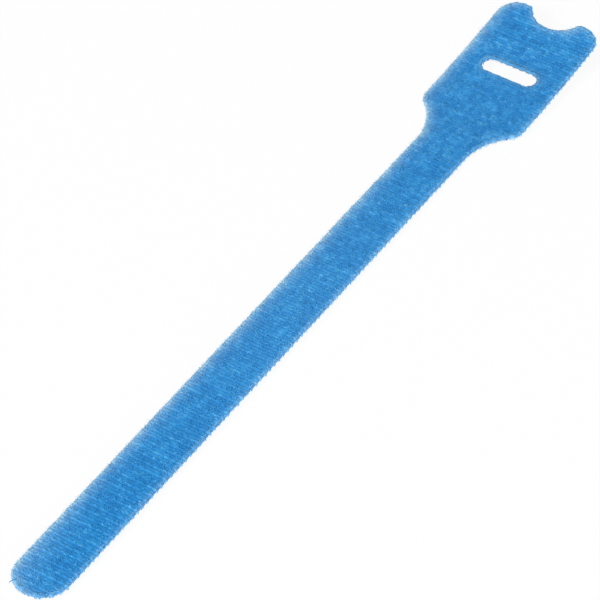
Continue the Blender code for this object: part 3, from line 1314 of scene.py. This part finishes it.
@dataclass(frozen=True)
class HookFilm:
    """The lower layer: a thin moulded film and the rows of small hooks that stand on it."""

    top: float = 0.50 * MM
    face: float = 0.35 * MM
    inset: float = 0.28 * MM
    row_pitch: float = 1.10 * MM
    hook_pitch: float = 1.68 * MM
    hook_width: float = 0.38 * MM
    half_thickness: float = 0.045 * MM
    bend: float = 0.115 * MM
    edge_gap: float = 0.19 * MM
    film_pitch: float = 1.2 * MM

    def film(self) -> Shell:
        """The film: a flat slab with a square edge, a little inside the knit's.

        Returns:
            The closed shell.
        """
        flat, quads = DieGrid(self.film_pitch, 4, 4, inset=self.inset).build()
        top = np.column_stack([flat, np.full(len(flat), self.top)])
        bottom = np.column_stack([flat, np.full(len(flat), self.face)])
        waist = (top + bottom) / 2
        points, faces = closed_slab(top, bottom, waist, quads)
        return Shell(points, faces, smooth=False)

    def hooks(self) -> Shell:
        """The hooks: a leaning stem that goes over into a half round, with its tip turned back up.

        The stem runs from the film to the start of the round. The round has its lowest point one
        half thickness above the ground, so the tie stands on the hooks. Rows face by turns. A
        ring has four corners, so its radii are the half sides times the square root of two.

        Returns:
            The closed shell of all hooks.
        """
        across = int(DIE.head_width / 2 / self.row_pitch)
        row, place = pairs(2 * across + 1, int(DIE.length / self.hook_pitch) + 1)
        row = row - across
        x = (place + 0.5 * (row % 2) + 0.25) * self.hook_pitch
        flat = np.column_stack([x, row * self.row_pitch])
        keep = DIE.holds(flat) & (EDGE.nearest(flat).distance > self.edge_gap)
        flat, way = flat[keep], np.where(row[keep] % 2 == 0, 1.0, -1.0)
        turn = np.radians(np.array([180, 215, 250, 285, 320, 360]))
        stem_x = np.array([-0.30, -0.21]) * MM
        stem_z = np.array([self.face + 0.03 * MM, 0.25 * MM])
        line_x = np.concatenate([stem_x, self.bend * np.cos(turn)]) - 0.02 * MM
        line_z = np.concatenate([stem_z, self.half_thickness + self.bend + self.bend * np.sin(turn)])
        line_z[-1] += 0.03 * MM
        lines = np.zeros((len(flat), len(line_x), 3))
        lines[..., 0] = flat[:, :1] + way[:, None] * line_x
        lines[..., 1] = flat[:, 1:]
        lines[..., 2] = line_z
        thick = np.array([0.14, 0.085, 0.055, 0.05, 0.045, 0.045, 0.04, 0.025]) * MM
        wide = np.array([1.25, 1.05, 1.0, 1.0, 0.95, 0.9, 0.8, 0.6]) * self.hook_width / 2
        wide, thick = (np.broadcast_to(half * np.sqrt(2.0), lines.shape[:2]) for half in (wide, thick))
        points, faces = strands(lines, wide, thick, 4, side_axis=np.array([0.0, 1.0, 0.0]))
        return Shell(points, faces, smooth=False)

    def dress(self) -> list[Object]:
        """Adds the film and its hooks and gives them back."""
        film = add_piece("backing_film", self.film(), BACKING_NYLON)
        return [film, add_piece("moulded_hooks", self.hooks(), SHADED_HOOK_NYLON)]


# The studio

class Softbox(Enum):
    """The soft lamps: where each stands from the tie in metres, its side and its power."""

    BRUSHED_SIDE = ((-1.98, 1.08, 1.44), 0.96, 64.6)
    FAR_SIDE = ((-0.30, -0.95, 0.27), 0.50, 5.5)


@dataclass(frozen=True)
class Studio:
    """The camera, the lamps, the white surround and the floor."""

    azimuth: float = -57.198
    elevation: float = 43.582
    distance: float = 871.2 * MM
    lens: float = 254.41
    aim: Triple = (0.057 * MM, 0.0, 0.0)
    aim_right: float = -1.852 * MM
    aim_up: float = -1.555 * MM
    ambient: float = 0.42
    floor_glow: float = 0.93
    floor_half: float = 3.0
    floor_level: float = -0.02 * MM
    white: Colour = (1, 1, 1, 1)

    def camera(self) -> None:
        """Stands the camera back from the aim, along azimuth and elevation, with its frame set off."""
        turn, lift = np.radians(self.azimuth), np.radians(self.elevation)
        back = Vector((np.sin(turn) * np.cos(lift), -np.cos(turn) * np.cos(lift), np.sin(lift)))
        right = Vector((np.cos(turn), np.sin(turn), 0.0))
        up = back.cross(right)
        data = bpy.data.cameras.new("photo_camera")
        data.lens, data.sensor_width = self.lens, 36.0
        data.clip_start, data.clip_end = 0.01, 20.0
        camera = add_object("photo_camera", data)
        spot = Vector(self.aim) + right * self.aim_right + up * self.aim_up + back * self.distance
        camera.matrix_world = Matrix((
            (right.x, up.x, back.x, spot.x),
            (right.y, up.y, back.y, spot.y),
            (right.z, up.z, back.z, spot.z),
            (0.0, 0.0, 0.0, 1.0),
        ))
        bpy.context.scene.camera = camera

    def lamps(self) -> None:
        """Adds the soft lamps, each turned to the tie."""
        for box in Softbox:
            place, side, power = box.value
            data = bpy.data.lights.new(box.name.lower(), "AREA")
            data.size, data.energy = side, power
            lamp = add_object(box.name.lower(), data)
            lamp.location = place
            lamp.rotation_mode = "QUATERNION"
            lamp.rotation_quaternion = (-Vector(place)).to_track_quat("-Z", "Y")

    @staticmethod
    def two_looks(tree: Tree, plain: Node, seen: Node, share: float, output: str) -> None:
        """Shows one shader to rays of the camera, of gloss and through glass, and another to the rest.

        Args:
            tree: tree of the shaders.
            plain: shader for the light that the scene gets.
            seen: shader that is looked at.
            share: how much of it is shown.
            output: name of the output node.
        """
        path = add_node(tree, "LightPath").outputs
        mask = math_node(tree, "ADD", path["Is Camera Ray"], path["Is Glossy Ray"])
        mask = math_node(tree, "ADD", mask, path["Is Transmission Ray"])
        mask = math_node(tree, "MULTIPLY", mask, share)
        mix = add_node(tree, "MixShader", {0: mask, 1: plain.outputs[0], 2: seen.outputs[0]})
        fill(tree, tree.nodes[output], {"Surface": mix.outputs[0]})

    def surround(self) -> None:
        """A world that is white where it is seen and a plain level of light elsewhere."""
        world = bpy.data.worlds.new("white_surround")
        world.use_nodes = True
        tree = world.node_tree
        light = tree.nodes["Background"]
        fill(tree, light, {"Strength": self.ambient, "Color": self.white})
        seen = add_node(tree, "Background", {"Color": self.white})
        self.two_looks(tree, light, seen, 1.0, "World Output")
        bpy.context.scene.world = world

    def floor(self) -> None:
        """A wide white floor that glows where it is seen and still takes the tie's shadow."""
        half, level = self.floor_half, self.floor_level
        mesh = bpy.data.meshes.new("studio_floor")
        corners = [(-half, -half, level), (half, -half, level), (half, half, level), (-half, half, level)]
        mesh.from_pydata(corners, [], [(0, 1, 2, 3)])
        material = bpy.data.materials.new("studio_floor")
        material.use_nodes = True
        tree = material.node_tree
        paint = tree.nodes["Principled BSDF"]
        matt = {"Base Color": (0.93, 0.93, 0.93, 1), "Roughness": 1.0, "Specular IOR Level": 0.0}
        fill(tree, paint, matt)
        self.two_looks(tree, paint, add_node(tree, "Emission"), self.floor_glow, "Material Output")
        mesh.materials.append(material)
        add_object("studio_floor", mesh)

    def build(self) -> None:
        """Sets the studio up."""
        bpy.context.scene.view_settings.view_transform = "Standard"
        self.camera()
        self.lamps()
        self.surround()
        self.floor()


def main() -> None:
    """Builds the studio, the hook side and the knit."""
    logging.basicConfig(level=logging.INFO, format="%(message)s")
    Studio().build()
    made = HookFilm().dress() + LoopKnit().dress()
    LOG.info("%d pieces made", len(made))


if __name__ == "__main__":
    main()
